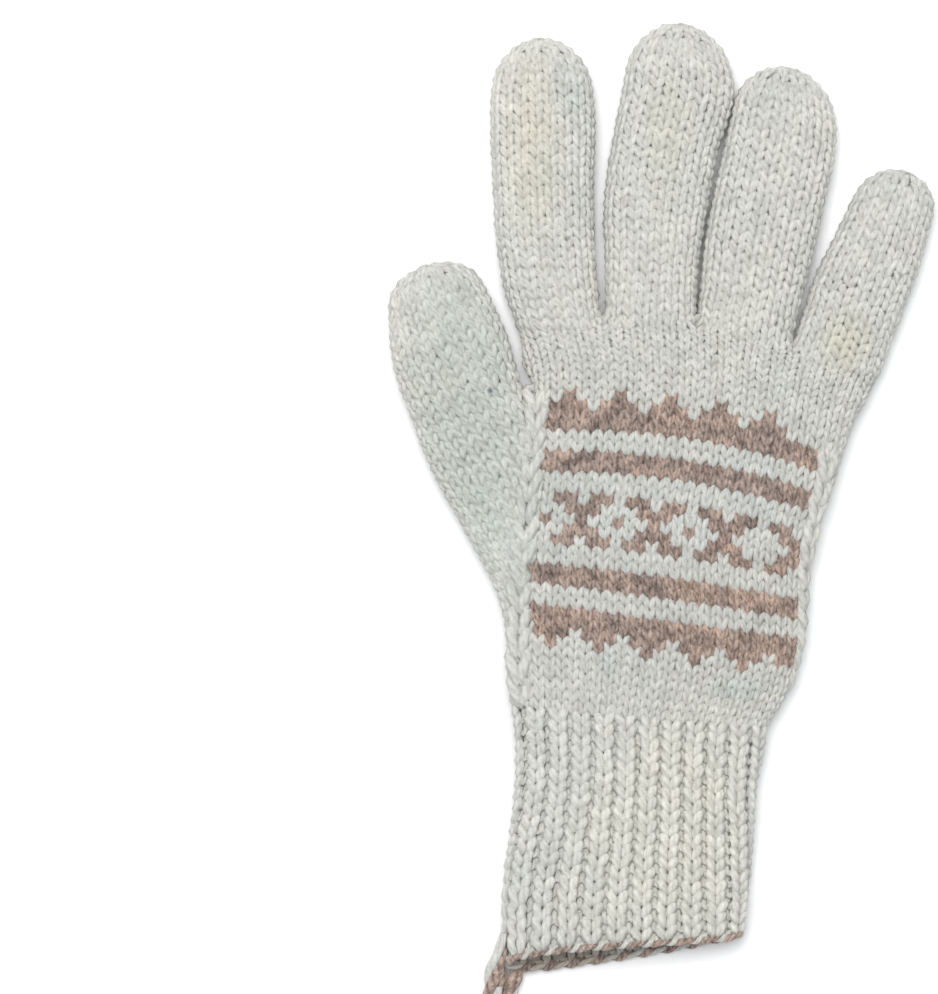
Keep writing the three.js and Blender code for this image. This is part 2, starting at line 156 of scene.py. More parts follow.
# Shape of a cross-section.
WIDEST_SHARE = 0.45
TOP_SQUARENESS = 2.3
BELLY_SQUARENESS = 3.0
BELLY_FLATTENING = 0.05
DROOP_SHAPE = 0.6
OUTLINE_SAMPLES = 360
TIP_STEPS = 6
TIP_SHAPE = 3
TIP_RISE = 0.4
LEAST_HEIGHT = 0.1
LEAST_HALF = 0.06

# The closed skin that the stitches lie on, and the felted inner face.
SKIN_SAMPLES = 72
SKIN_SPACING = 2.0
SKIN_VOXEL = 0.9
SKIN_RELAXING = 8
HEM_SHIFT = 0.4
HEM_REACH = 8.0
CUFF_TOP = -57.0
FACE_DEPTH = 2.3
FACE_VOXEL = 1.6
FACE_RELAXING = 6
FACE_WALL = 0.5

# Points round the sections that guide the stitches.
HAND_SAMPLES = 108
TUBE_SAMPLES = 48
CUFF_SAMPLES = 120
EDGE_SAMPLES = 480

# The knitting, in millimetres and counts.
YARN_DEPTH = 1.55
CUFF_YARN = 1.22
PURL_YARN = 0.82
HAND_YARN = 0.86
FINGER_YARN = 1.05
CHAIN_YARN = 1.36
HAND_SPREAD = 0.23
FINGER_SPREAD = 0.22
CUFF_SPREAD = 0.22
CHAIN_SPREAD = 0.31
LEAF = 0.2
YARN_FLATNESS = 0.8
LOOP_REACH = 0.86
RELIEF = 0.68

# How unevenly the stitches are knitted, as standard deviations.
UNEVEN_SWAY = 0.06
UNEVEN_RISE = 0.09
UNEVEN_SPREAD = 0.12
UNEVEN_REACH = 0.05
UNEVEN_RELIEF = 0.08
UNEVEN_YARN = 0.07

# Rows and columns of stitches.
CUFF_STITCH_ROWS = 19
RIBS = 20
BACK_RIBS = 11
RIB_START = (0.25, 0.7)
RIB_STRETCH = (1.0, 0.86)
KNIT_SHARE = 0.75
RIB_LIFT = 0.5
PURL_DROP = 1.0
RIB_FADE_ROWS = 3
HAND_COLUMNS = 54
HAND_STITCH_ROWS = 40
HAND_START = -59.8
HAND_PLACES = ((HAND_START, 0), (-43.5, 6), (22.2, 31), (28.8, 33.6))
FINGER_ROW = 2.8
TIP_ROWS = 3

# The chains beside the band: their first and last rows, and how far they overlap it in columns.
THUMB_CHAIN = ((0.5, 32.7), 0.75)
OUTER_CHAIN = ((2.0, 32.0), -0.1)
CHAIN_ROW = 2.2
CHAIN_WIDTH = 5.8
CHAIN_COLUMNS = 1.5
CHAIN_LIFT = 0.6
CHAIN_SINK = 2.2
CHAIN_SLOPE = 0.1
CHAIN_SAMPLES = 16
ROOT_OVERLAP = 1.4
THUMB_LEAN = -0.0086
EDGE_DEPTH = 1.7
EDGE_DROP = 0.9
EDGE_OFFSET = 0.75
EDGE_TAUPE = 0.98
EDGE_WHITE = 0.75
EDGE_SWING = 0.7
EDGE_SIDES = 7
YARN_SIDES = 5
STEPS_PER_STITCH = 12
FLOOR_SOFTNESS = 0.3

# How deep under the skin, and how far past the gusset's line, a stitch is still made.
BURIED = 1.8
HAND_ROOT_ROWS = 3
FINGER_ROOT_ROWS = 2
ROOT_BURIED = 4.0
PALM_HEIGHT = 7.0
PALM_BURIED = 3.6
HAND_PAST_LINE = (-3.2, -1.2)
THUMB_PAST_LINE = (2.4, 0.8)

# Loose fibres.
WHITE_FIBRES = 54000
TAUPE_FIBRES = 9000
FIBRE_LENGTHS = (0.7, 2.4)
FIBRE_WIDTH = 0.06
FIBRE_POINTS = 5
FIBRE_TURN = 1.4
FIBRE_LIFTS = (0.1, 0.8)
FIBRE_WANDER = 0.4
FIBRE_ROOT = 0.9
FIBRE_TAPER = 0.8

# The two-colour band on the back of the hand, top row first: x is taupe.
BAND_TOP_ROW = 31
BAND_COLUMNS = 23
BAND_MARGIN = 3
BAND_START = (1.6, 0.85)
BAND_STRETCH = (1.08, 1.02)
TAUPE_ROW = "x" * BAND_COLUMNS
WHITE_ROW = "." * BAND_COLUMNS
BAND = (
    "..x...x...x...x...x....",
    ".xxx.xxx.xxx.xxx.xxx...",
    TAUPE_ROW, TAUPE_ROW, WHITE_ROW, WHITE_ROW, TAUPE_ROW, TAUPE_ROW, WHITE_ROW, WHITE_ROW,
    "..xx.xx.xx.xx.xx.xx.xx.",
    "...xxx...xxx...xxx...xx",
    ".x..x..x..x..x..x.....x",
    "...xxx...xxx...xxx...xx",
    "..xx.xx.xx.xx.xx.xx.xx.",
    WHITE_ROW, WHITE_ROW, TAUPE_ROW, TAUPE_ROW, WHITE_ROW, WHITE_ROW, TAUPE_ROW, TAUPE_ROW,
    ".xxx.xxx.xxx.xxx.xxx.xx",
    "..x...x...x...x...x....",
)

# Small marks on the white wool: specks, cream patches, cooler, duller or lighter tinges, painted
# shade at the index tip, and a brown painted shadow under the hem. Height is where a mark is
# strongest.
SPOT_HEIGHT = 14.0
Spot = namedtuple("Spot", "x y wide long strength tint height", defaults=(SPOT_HEIGHT,))
SPOT_DEPTH = 7.0
SPOTS = (
    Spot(-46.9, 28.4, 1.1, 1.1, 1.0, (0.3, 0.33, 0.45)),
    Spot(-31.7, 121.9, 1.1, 1.1, 0.9, (0.35, 0.33, 0.32)),
    Spot(-26.0, 69.7, 1.3, 1.0, 0.7, (0.45, 0.47, 0.5)),
    Spot(2.4, -38.1, 1.0, 1.0, 0.9, (0.42, 0.32, 0.24)),
    Spot(-35.0, 92.0, 12.0, 34.0, 0.6, (1.03, 1.0, 0.91)),
    # Painted shade: a cooler, darker patch at the side of the index tip.
    Spot(-25.0, 113.0, 8.0, 14.0, 0.7, (0.9, 0.94, 0.97)),
    Spot(1.0, 96.0, 10.0, 30.0, 0.6, (1.02, 1.0, 0.93)),
    Spot(50.2, 41.5, 11.0, 13.0, 0.8, (1.03, 1.0, 0.89)),
    Spot(20.0, -52.5, 12.0, 5.0, 0.8, (0.88, 0.93, 0.95)),
    Spot(-52.0, -10.0, 14.0, 26.0, 0.5, (0.94, 0.99, 1.0)),
    Spot(-4.0, -92.0, 60.0, 50.0, 0.8, (1.11, 1.1, 1.06)),
    Spot(-56.0, 24.0, 30.0, 70.0, 0.9, (0.85, 0.9, 0.88)),
    Spot(12.0, 36.0, 70.0, 26.0, 0.4, (0.92, 0.96, 0.97)),
    Spot(10.0, -16.0, 70.0, 60.0, 0.9, (0.92, 0.93, 0.95)),
    Spot(2.6, -7.3, 46.0, 13.0, 0.9, (1.08, 1.085, 1.09)),
    # Painted shadow: a brown shade on the hem's underside, strongest low down.
    Spot(-28.0, -128.5, 30.0, 7.0, 0.9, (0.7, 0.6, 0.53), 2.5),
)

# How the wool's hue, lightness and relief are mixed.
PLIES = 3.0
PLY_PITCH = 11.0
HUE_WEIGHTS = (0.45, 0.47, 0.08)
# The ply share of the lightness paints highlights on the ply crowns and shade in the grooves.
LIGHT_WEIGHTS = (0.36, 0.5, 0.06, 0.08)
RELIEF_WEIGHTS = (0.9, 1.2)
MIDDLE_LIGHT = (0.93, 0.93, 0.93)

# Camera, floor and light.
CAMERA_PLACE = (-52.63, -0.45, 900.0)
CAMERA_LENS = 118.5
FLOOR_SIZE = 3.0
FLOOR_COLOUR = (0.9, 0.9, 0.9, 1.0)
SKY_COLOUR = (0.95, 0.97, 1.0, 1.0)
SKY_STRENGTH = 0.62
LAMP_PLACE = (-0.15, 0.35, 1.25)
LAMP_SIZE = 0.8
LAMP_ENERGY = 15.0


KNITTED_NODES = (
    "hand", "cuff", "index_finger", "middle_finger", "ring_finger", "little_finger", "thumb",
)


# Objects and the camera

def linked(name, data):
    """A new object in the scene."""
    thing = bpy.data.objects.new(name, data)
    bpy.context.scene.collection.objects.link(thing)
    return thing


def make_camera():
    """A long lens straight above, at the photograph's viewing angle."""
    data = bpy.data.cameras.new("camera")
    data.lens = CAMERA_LENS
    data.sensor_width = 36.0
    data.clip_start = 0.05
    data.clip_end = 20.0
    camera = linked("camera", data)
    camera.location = [value * MM for value in CAMERA_PLACE]
    bpy.context.scene.camera = camera


# Numbers

def smooth_through(places, values, wanted):
    """Values at the wanted places, on a smooth curve through the given ones."""
    places = np.asarray(places, float)
    values = np.asarray(values, float)
    wanted = np.clip(np.asarray(wanted, float), places[0], places[-1])
    slopes = np.gradient(values, places, axis=0)
    cell = np.clip(np.searchsorted(places, wanted, side="right") - 1, 0, len(places) - 2)
    width = places[cell + 1] - places[cell]
    share = (wanted - places[cell]) / width
    shape = (-1,) + (1,) * (values.ndim - 1)
    share = share.reshape(shape)
    width = width.reshape(shape)
    rising = share * share * (3 - 2 * share)
    leaving = share * (1 - share) ** 2 * width
    arriving = share * share * (share - 1) * width
    between = values[cell] * (1 - rising) + values[cell + 1] * rising
    return between + slopes[cell] * leaving + slopes[cell + 1] * arriving


def lengths_along(points):
    """Distance from the first point to each point of a line, or of each of several lines."""
    steps = np.linalg.norm(np.diff(points, axis=-2), axis=-1)
    start = np.zeros(steps.shape[:-1] + (1,))
    return np.concatenate([start, np.cumsum(steps, axis=-1)], axis=-1)


def unit(vectors):
    """The same vectors, each one long."""
    return vectors / np.maximum(np.linalg.norm(vectors, axis=-1, keepdims=True), 1e-12)


def signed_power(value, power):
    """A power that keeps the sign."""
    return np.sign(value) * np.abs(value) ** power


# Cross-sections of the tubes

def outline(half, height, bottom):
    """Across and up of one cross-section, from its -X side over the top and back underneath."""
    angle = np.linspace(math.pi, -math.pi, OUTLINE_SAMPLES + 1)
    above = np.sin(angle) >= 0
    squareness = np.where(above, TOP_SQUARENESS, BELLY_SQUARENESS)
    reach = np.where(above, 1 - WIDEST_SHARE, WIDEST_SHARE * (1 + BELLY_FLATTENING)) * height
    across = half * signed_power(np.cos(angle), 2 / squareness)
    up = bottom + WIDEST_SHARE * height + reach * signed_power(np.sin(angle), 2 / squareness)
    return across, np.maximum(up, bottom)


def even_outline(row, inset, samples):
    """Across, from -1 to 1, and height of evenly spaced points round one cross-section."""
    half = max(row.half - inset, 0.05)
    height = max(row.height - 2 * inset, 0.05)
    across, up = outline(half, height, row.bottom + inset)
    along = lengths_along(np.stack([across, up], axis=1))
    wanted = np.arange(samples) / samples * along[-1]
    return np.interp(wanted, along, across) / half, np.interp(wanted, along, up)


def place_section(row, inset, samples):
    """Points round one cross-section, where it lies in the glove."""
    across, up = even_outline(row, inset, samples)
    down = 1 - (up - row.bottom) / row.height
    slack = np.maximum((1 - across) / 2, 0.0) ** DROOP_SHAPE
    forward = row.bow * (1 - across ** 2) - row.droop * down * slack
    turn = math.radians(row.turn)
    sideways = across * max(row.half - inset, 0.05)
    x = row.x + sideways * math.cos(turn) - forward * math.sin(turn)
    y = row.y + sideways * math.sin(turn) + forward * math.cos(turn)
    return np.stack([x, y, up], axis=1) - CENTRE


def knuckle_section(row, inset, samples, first, last, lower=0.0):
    """Points round a cross-section that is bent along the line of the finger roots."""
    across, up = even_outline(row, inset, samples)
    line = np.array(KNUCKLES)
    x = line[first, 0] + (across + 1) / 2 * (line[last, 0] - line[first, 0])
    y = smooth_through(line[:, 0], line[:, 1], x) - lower
    return np.stack([x, y, up], axis=1) - CENTRE


def tip_sections(tube, inset, samples):
    """Points round the sections that round off a tube's end."""
    last = tube.rows[-1]
    sections = []
    for step in range(1, TIP_STEPS + 1):
        angle = math.pi / 2 * step / TIP_STEPS
        along = math.sin(angle)
        height = last.height * math.sqrt(max(1 - along ** TIP_SHAPE, 0.0))
        reach = np.hypot(tube.tip[0] - last.x, tube.tip[1] - last.y)
        shorter = along * (1 - inset / reach)
        row = last._replace(
            x=last.x + (tube.tip[0] - last.x) * shorter,
            y=last.y + (tube.tip[1] - last.y) * shorter,
            height=max(height, 2 * inset + LEAST_HEIGHT),
            bottom=last.bottom + (last.height - height) * TIP_RISE,
        )
        half = max((last.half - inset) * math.cos(angle), LEAST_HALF) + inset
        sections.append(place_section(row._replace(half=half), inset, samples))
    return sections


# Surfaces that carry the stitches

Surface = namedtuple("Surface", "points normals buried rows")


def tube_sections(tube, inset, samples):
    """All the sections of a finger or the thumb, without its root."""
    placed = [place_section(row, inset, samples) for row in tube.rows]
    return placed + tip_sections(tube, inset, samples)


def volume(sections):
    """Vertices and faces of a closed solid through the given sections."""
    count = len(sections[0])
    vertices = np.concatenate(sections)
    starts = np.arange(len(sections) - 1) * count
    faces = ring_quads(starts, starts + count, count).tolist()
    faces.append(list(range(count))[::-1])
    faces.append(list(range(len(vertices) - count, len(vertices))))
    return vertices, faces


def mean_lengths(sections):
    """Average distance along a tube from its first section to each section."""
    steps = np.linalg.norm(np.diff(sections, axis=0), axis=2).mean(axis=1)
    return np.concatenate([[0.0], np.cumsum(steps)])


def refined(sections, spacing):
    """More sections, on smooth curves through the given ones."""
    places = mean_lengths(sections)
    wanted = np.linspace(0, places[-1], max(int(places[-1] / spacing), 2) + 1)
    return list(smooth_through(places, sections, wanted))


def joined_skin(name, inset, voxel, smoothing):
    """One closed skin over all the tubes, rounded where they meet."""
    wrist = CUFF_ROWS[0]
    beyond = wrist._replace(x=wrist.x + HEM_SHIFT, y=wrist.y - HEM_REACH)
    cuff_rows = [beyond] + CUFF_ROWS + [HAND_ROWS[0]._replace(y=CUFF_TOP)]
    parts = []
    for rows in (HAND_ROWS + HAND_TOP, cuff_rows):
        parts.append([place_section(row, inset, SKIN_SAMPLES) for row in rows])
    for tube in (*FINGERS, THUMB):
        roots = [place_section(row, inset, SKIN_SAMPLES) for row in tube.roots]
        parts.append(roots + tube_sections(tube, inset, SKIN_SAMPLES))
    vertices = []
    faces = []
    for sections in parts:
        new_vertices, new_faces = volume(refined(sections, SKIN_SPACING))
        start = len(vertices)
        vertices.extend(new_vertices * MM)
        faces.extend([start + index for index in face] for face in new_faces)
    mesh = bpy.data.meshes.new(name)
    mesh.from_pydata([tuple(vertex) for vertex in vertices], [], faces)
    skin = linked(name, mesh)
    remesh = skin.modifiers.new("skin", "REMESH")
    remesh.mode = "VOXEL"
    remesh.voxel_size = voxel * MM
    relax = skin.modifiers.new("relax", "SMOOTH")
    relax.factor = 0.5
    relax.iterations = smoothing
    apply_modifiers(skin)
    return skin


def apply_modifiers(piece):
    """Turns an object's modifiers into plain geometry."""
    before = piece.data
    graph = bpy.context.evaluated_depsgraph_get()
    done = bpy.data.meshes.new_from_object(piece.evaluated_get(graph))
    piece.modifiers.clear()
    piece.data = done
    bpy.data.meshes.remove(before)


def skin_tree(skin):
    """A search tree of a skin's faces."""
    mesh = skin.data
    corners = [vertex.co for vertex in mesh.vertices]
    faces = [tuple(face.vertices) for face in mesh.polygons]
    return BVHTree.FromPolygons(corners, faces)


def snapped(points, tree):
    """Each point moved to the nearest place on the skin, and how deep it lay under the skin."""
    flat = points.reshape(-1, 3) * MM
    moved = np.empty_like(flat)
    depth = np.empty(len(flat))
    for index, point in enumerate(flat):
        place, normal, _, distance = tree.find_nearest(Vector(point))
        moved[index] = place
        inside = (Vector(point) - place).dot(normal) < 0
        depth[index] = distance if inside else -distance
    return moved.reshape(points.shape) / MM, depth.reshape(points.shape[:-1]) / MM


def surface_normals(points):
    """Outward directions of a grid of points, whose rows go round a tube."""
    along = np.gradient(points, axis=0)
    around = np.roll(points, -1, axis=1) - np.roll(points, 1, axis=1)
    return unit(np.cross(around, along))


def stitch_surface(sections, places, tree):
    """A fine grid through the sections, two lines to each row of stitches, laid on the skin."""
    rows = int(round(places[-1]))
    wanted = np.arange(2 * rows + 1) / 2
    grid = smooth_through(places, np.array(sections), wanted)
    points, buried = snapped(grid, tree)
    return Surface(points, surface_normals(points), buried, rows)


def places_by_length(sections, row_height):
    """Row numbers of the sections, from their distances."""
    places = mean_lengths(sections) / row_height
    return places * round(places[-1]) / places[-1]


def sample(grid, row, around):
    """Values of a grid at fractional places: row in stitches, around from 0 to 1."""
    lines, count = grid.shape[:2]
    row = np.clip(row * 2, 0, lines - 1.0001)
    around = (around % 1.0) * count
    low = np.floor(row).astype(int)
    left = np.floor(around).astype(int) % count
    right = (left + 1) % count
    up = row - low
    over = around - np.floor(around)
    if grid.ndim == 3:
        up = up[..., None]
        over = over[..., None]
    lower = grid[low, left] * (1 - over) + grid[low, right] * over
    upper = grid[low + 1, left] * (1 - over) + grid[low + 1, right] * over
    return lower * (1 - up) + upper * up


# Yarn

Stitches = namedtuple("Stitches", "centres normals radii tones middles buried")


def knit_rows(surface, first, count, edges, radius, slant, lift=0.0, purl=None):
    """The yarn of several rows of loops. edges are the places of the columns' sides, row by row."""
    edges = np.broadcast_to(edges, (count, np.shape(edges)[-1]))
    columns = edges.shape[1] - 1
    stitch = (count, columns, 1)
    step = np.arange(STEPS_PER_STITCH) / STEPS_PER_STITCH
    turn = 2 * math.pi * step
    calm = np.sin(turn / 2) ** 2
    wave = -np.cos(2 * turn)
    left = edges[:, :-1, None]
    width = np.diff(edges, axis=1)[:, :, None]
    row = (first + np.arange(count))[:, None, None]
    sway = random.normal(0, UNEVEN_SWAY, stitch)
    rise = random.normal(0, UNEVEN_RISE, stitch)
    spread = slant * (1 + random.normal(0, UNEVEN_SPREAD, stitch))
    tall = LOOP_REACH * (1 + random.normal(0, UNEVEN_REACH, stitch))
    around = left + width * (step + spread * np.sin(2 * turn) + sway * calm)
    upward = row + 0.5 - tall * np.cos(turn) + rise * calm
    facing = 1.0
    yarn = np.full((1, columns, 1), radius)
    middle = 1.0
    lift = np.broadcast_to(lift, (count, columns))[:, :, None]
    if purl is not None:
        facing = np.where(purl, -1.0, 1.0)[:, None]
        yarn = np.where(purl, PURL_YARN, radius)[:, None]
        middle = 1 - np.cos(turn / 2) ** 8
    relief = yarn * (RELIEF + random.normal(0, UNEVEN_RELIEF, stitch))
    height = facing * (relief * wave * middle + lift * calm)
    radii = yarn * (1 + LEAF * wave + random.normal(0, UNEVEN_YARN, stitch) * calm)
    around, upward, height, radii = (
        grid.reshape(count, columns * STEPS_PER_STITCH) for grid in (around, upward, height, radii)
    )
    radii = (np.roll(radii, 1, axis=1) + radii + np.roll(radii, -1, axis=1)) / 3
    normals = unit(sample(surface.normals, upward, around))
    centres = sample(surface.points, upward, around) + normals * height[..., None]
    middle_around = (edges[:, :-1] + edges[:, 1:]) / 2
    middle_up = np.broadcast_to(row[:, :, 0] + 0.5, (count, columns))
    middles = sample(surface.points, middle_up, middle_around)
    buried = sample(surface.buried, middle_up, middle_around)
    return Stitches(centres, normals, radii, stitch_tones(count, columns), middles, buried)


def stitch_tones(rows, columns):
    """How light the yarn is, from 0 to 1, stitch by stitch with soft changes."""
    tones = np.repeat(random.uniform(0, 1, (rows, columns)), STEPS_PER_STITCH, axis=1)
    spread = STEPS_PER_STITCH // 2
    return sum(np.roll(tones, shift, axis=1) for shift in range(spread)) / spread


def rings_round(centres, outward, sideways, radii, sides, flatness=1.0):
    """Rings of points round lines, from two directions across each point."""
    angle = (np.arange(sides) / sides * 2 * math.pi)[:, None]
    ring = outward[..., None, :] * np.cos(angle) * flatness + sideways[..., None, :] * np.sin(angle)
    return centres[..., None, :] + ring * radii[..., None, None]


def yarn_rings(stitches, sides):
    """Rings of points round rows of yarn, each of which closes on itself."""
    centres = stitches.centres
    forward = unit(np.roll(centres, -1, axis=1) - np.roll(centres, 1, axis=1))
    sideways = unit(np.cross(forward, stitches.normals))
    outward = np.cross(sideways, forward)
    return rings_round(centres, outward, sideways, stitches.radii, sides, YARN_FLATNESS)


def ring_quads(here, ahead, sides):
    """Faces between pairs of rings, from the number of each ring's first point."""
    side = np.arange(sides)
    beside = (side + 1) % sides
    here = here[:, None]
    ahead = ahead[:, None]
    corners = [here + side, here + beside, ahead + beside, ahead + side]
    return np.stack(corners, axis=2).reshape(-1, 4)


def ring_coordinates(here, ahead, sides):
    """Texture places of those faces: round the yarn from 0 to 1, and along it in millimetres."""
    around = np.broadcast_to(np.arange(sides) / sides, (len(here), sides))
    further = around + 1 / sides
    here = np.broadcast_to(here[:, None], around.shape)
    ahead = np.broadcast_to(ahead[:, None], around.shape)
    corners = ((around, here), (further, here), (further, ahead), (around, ahead))
    return np.stack([np.stack(corner, axis=2) for corner in corners], axis=2).reshape(-1, 2)


def yarn_piece(name, stitches, kept, material, nodes, sides=YARN_SIDES):
    """A mesh of the kept stitches' yarn, with caps where the yarn dives out of sight."""
    centres = stitches.centres
    steps = centres.shape[1]
    kept_steps = np.repeat(kept, steps // kept.shape[1], axis=1)
    rings = yarn_rings(stitches, sides)
    line, step = np.nonzero(kept_steps)
    following = (step + 1) % steps
    quads = ring_quads((line * steps + step) * sides, (line * steps + following) * sides, sides)
    before = np.roll(kept_steps, 1, axis=1)
    side = np.arange(sides)
    starts = np.flatnonzero(kept_steps & ~before)[:, None] * sides + side[::-1]
    stops = np.flatnonzero(before & ~kept_steps)[:, None] * sides + side
    caps = np.concatenate([starts, stops])
    along = lengths_along(centres)[line, step]
    reach = np.linalg.norm(centres[line, following] - centres[line, step], axis=1)
    coordinates = ring_coordinates(along, along + reach, sides)
    tones = np.repeat(stitches.tones.reshape(-1), sides)
    return mesh_piece(
        name, rings.reshape(-1, 3), quads, caps, coordinates, tones, material, nodes
    )


def fuzz_piece(name, yarns, count, material, nodes):
    """Fine loose fibres that stand off the yarn. yarns are pairs of stitches and kept stitches."""
    total = sum(kept.sum() * stitches.centres.shape[1] // kept.shape[1] for stitches, kept in yarns)
    strips = [fibre_strips(stitches, kept, count / total) for stitches, kept in yarns]
    points = np.concatenate(strips).reshape(-1, 3)
    first = np.arange(len(points) // FIBRE_POINTS)[:, None] * FIBRE_POINTS
    quads = first + np.array([0, 1, 3, 2])
    ends = first + np.array([2, 3, 4])
    coordinates = np.zeros((quads.size, 2))
    tones = np.repeat(random.uniform(0, 1, len(first)), FIBRE_POINTS)
    return mesh_piece(name, points, quads, ends, coordinates, tones, material, nodes)


def fibre_strips(stitches, kept, share):
    """Five points for each fibre: two at its root, two half way and one at its tip."""
    steps = stitches.centres.shape[1]
    line, step = np.nonzero(np.repeat(kept, steps // kept.shape[1], axis=1))
    chosen = random.integers(0, len(line), int(len(line) * share))
    line, step = line[chosen], step[chosen]
    centre = stitches.centres[line, step]
    tangent = unit(stitches.centres[line, (step + 1) % steps] - centre)
    normal = stitches.normals[line, step]
    side = np.cross(tangent, normal)
    each = (len(line), 1)
    angle = random.uniform(-FIBRE_TURN, FIBRE_TURN, each)
    out = np.cos(angle) * normal + np.sin(angle) * side
    root = centre + out * stitches.radii[line, step][:, None] * FIBRE_ROOT
    along = random.uniform(-1, 1, each)
    lift = random.uniform(*FIBRE_LIFTS, each)
    sideways = random.normal(0, FIBRE_WANDER, each)
    direction = unit(tangent * along + out * lift + side * sideways)
    bend = unit(direction + random.normal(0, FIBRE_WANDER, direction.shape))
    length = random.uniform(*FIBRE_LENGTHS, each)
    middle = root + direction * length / 2
    tip = middle + bend * length / 2
    width = unit(np.cross(direction, out)) * FIBRE_WIDTH / 2
    thinner = width * FIBRE_TAPER
    return np.stack([root - width, root + width, middle - thinner, middle + thinner, tip], axis=1)


def rested(points):
    """The same points, with the wool that would reach under the floor squashed flat on it."""
    up = FLOOR_SOFTNESS * np.logaddexp(0.0, points[:, 2] / FLOOR_SOFTNESS)
    return np.column_stack([points[:, :2], up])


def mesh_piece(name, points, quads, caps, coordinates, tones, material, nodes):
    """A smooth-shaded mesh object that rides on the glove. Points are in millimetres."""
    points = rested(points)
    corners = np.concatenate([quads.reshape(-1), caps.reshape(-1)])
    used, corners = np.unique(corners, return_inverse=True)
    totals = np.concatenate([np.full(len(quads), 4), np.full(len(caps), caps.shape[1])])
    starts = np.concatenate([[0], np.cumsum(totals)[:-1]])
    mesh = bpy.data.meshes.new(name)
    mesh.vertices.add(len(used))
    mesh.vertices.foreach_set("co", (points[used] * MM).astype(np.float32).reshape(-1))
    mesh.loops.add(len(corners))
    mesh.loops.foreach_set("vertex_index", corners.astype(np.int32))
    mesh.polygons.add(len(totals))
    mesh.polygons.foreach_set("loop_start", starts.astype(np.int32))
    mesh.update(calc_edges=True)
    mesh.validate()
    layer = mesh.uv_layers.new(name="yarn")
    flat = np.zeros((len(corners), 2))
    flat[:len(coordinates)] = coordinates
    layer.data.foreach_set("uv", flat.astype(np.float32).reshape(-1))
    tone = mesh.attributes.new("tone", "FLOAT", "POINT")
    tone.data.foreach_set("value", tones[used].astype(np.float32))
    mesh.shade_smooth()
    mesh.materials.append(material)
    piece = linked(name, mesh)
    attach(piece, "root")
    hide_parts(*nodes)
    return piece


# Materials

def add_node(tree, kind, inputs, **settings):
    """A shader node whose inputs are given sockets or plain values."""
    node = tree.nodes.new(kind)
    for name, value in settings.items():
        setattr(node, name, value)
    for key, value in inputs.items():
        if isinstance(value, bpy.types.NodeSocket):
            tree.links.new(value, node.inputs[key])
        else:
            node.inputs[key].default_value = value
    return node


def calculated(tree, operation, first, second=0.0):
    """The result of a maths node."""
    node = add_node(tree, "ShaderNodeMath", {0: first, 1: second}, operation=operation)
    return node.outputs[0]


def ramped(tree, factor, stops):
    """Colours along a ramp."""
    node = add_node(tree, "ShaderNodeValToRGB", {0: factor})
    elements = node.color_ramp.elements
    while len(elements) < len(stops):
        elements.new(0.5)
    for element, (place, colour) in zip(elements, stops):
        element.position = place
        element.color = (*colour, 1.0)
    return node.outputs[0]


def multiplied(tree, colour, tint, share=1.0):
    """One colour times another, as far as the share says."""
    inputs = {0: share, 6: colour, 7: tint}
    node = add_node(tree, "ShaderNodeMix", inputs, data_type="RGBA", blend_type="MULTIPLY")
    return node.outputs[2]


def weighted_sum(tree, sockets, weights):
    """A sum of sockets times weights."""
    total = None
    for socket, weight in zip(sockets, weights):
        part = calculated(tree, "MULTIPLY", socket, weight)
        total = part if total is None else calculated(tree, "ADD", total, part)
    return total


def noise(tree, place, scale, detail, roughness):
    """A noise texture's strength."""
    inputs = {"Vector": place, "Scale": scale, "Detail": detail, "Roughness": roughness}
    return add_node(tree, "ShaderNodeTexNoise", inputs).outputs["Fac"]


def spotted(tree, colour, place, spots):
    """A colour with soft-edged specks, stains, tinges and painted shade at given places."""
    for spot in spots:
        scales = [1 / (radius * MM) for radius in (spot.wide, spot.long, SPOT_DEPTH)]
        centre = [value * MM for value in (spot.x, spot.y, spot.height)]
        shift = [-c * s for c, s in zip(centre, scales)]
        nearness = add_node(
            tree, "ShaderNodeVectorMath", {0: place, 1: scales, 2: shift}, operation="MULTIPLY_ADD"
        )
        reach = add_node(
            tree, "ShaderNodeVectorMath", {0: nearness.outputs[0]}, operation="LENGTH"
        )
        share = add_node(tree, "ShaderNodeMapRange", {
            "Value": reach.outputs["Value"],
            "From Min": 1.0,
            "From Max": 0.2,
            "To Max": spot.strength,
        }, interpolation_type="SMOOTHSTEP")
        colour = multiplied(tree, colour, (*spot.tint, 1.0), share.outputs[0])
    return colour


def new_material(name):
    """A matt material, and its shader."""
    material = bpy.data.materials.new(name)
    material.use_nodes = True
    shader = material.node_tree.nodes["Principled BSDF"]
    shader.inputs["Roughness"].default_value = 0.9
    return material, shader


